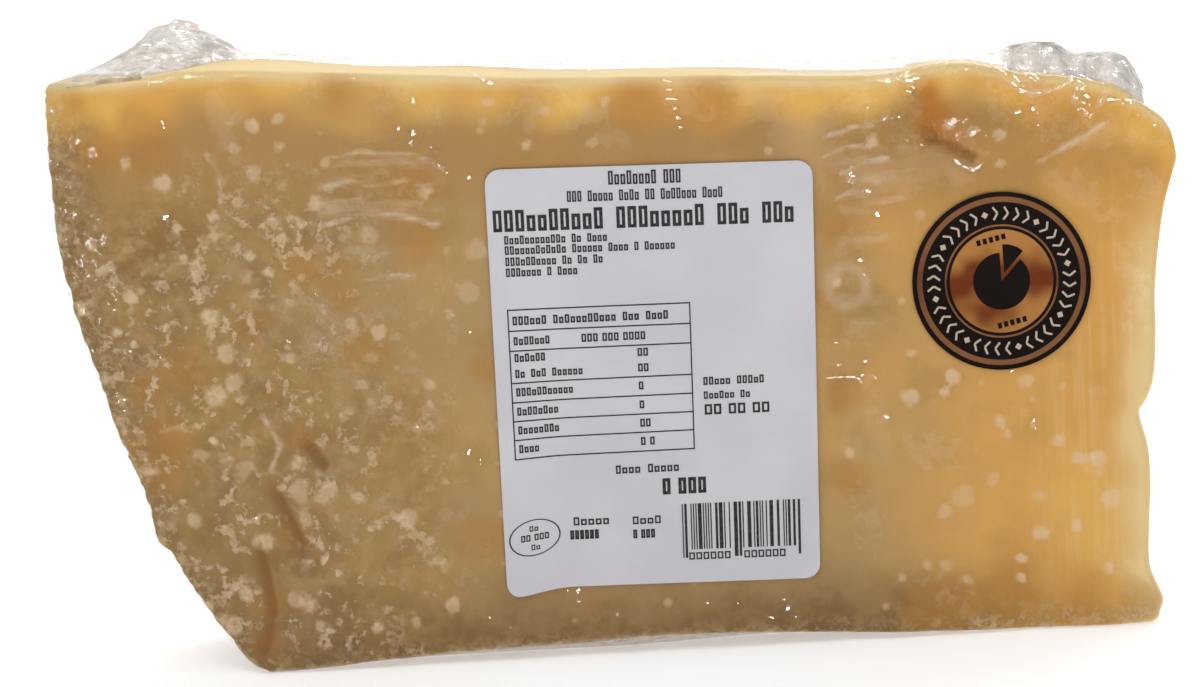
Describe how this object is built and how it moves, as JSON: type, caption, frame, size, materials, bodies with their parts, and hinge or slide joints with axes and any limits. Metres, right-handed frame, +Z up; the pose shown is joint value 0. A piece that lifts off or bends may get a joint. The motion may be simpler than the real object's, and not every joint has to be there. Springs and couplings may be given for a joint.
{
  "type": "parmesan chunk",
  "caption": "Wedge of hard aged cheese sealed tight in clear vacuum film, with a curved rind heel, a thin tip, a paper weight label and a round foil sticker.",
  "frame": {"origin": "centre of the footprint of the part's box, on the surface it stands on", "axes": "+Z up, with the wheel's flat rind down; +X towards the thin tip; -Y is the front cut that carries the label and the sticker"},
  "size_m": [0.2198, 0.0542, 0.1297],
  "materials": {
    "cheese": "golden straw hard cheese, granular, with pale crystals, seen through tight clear film",
    "bag_film": "clear glossy laminate film, drawn tight, with small wrinkles",
    "label_paper": "white coated thermal paper, satin",
    "label_print": "black thermal print",
    "sticker_black": "gloss black print on foil",
    "sticker_copper": "satin copper foil",
    "sticker_cream": "cream print"
  },
  "bodies": {
    "root": {"vacuum_pack": "cheese", "weight_label": "label_paper", "round_sticker": "sticker_black"}
  },
  "joints": []
}
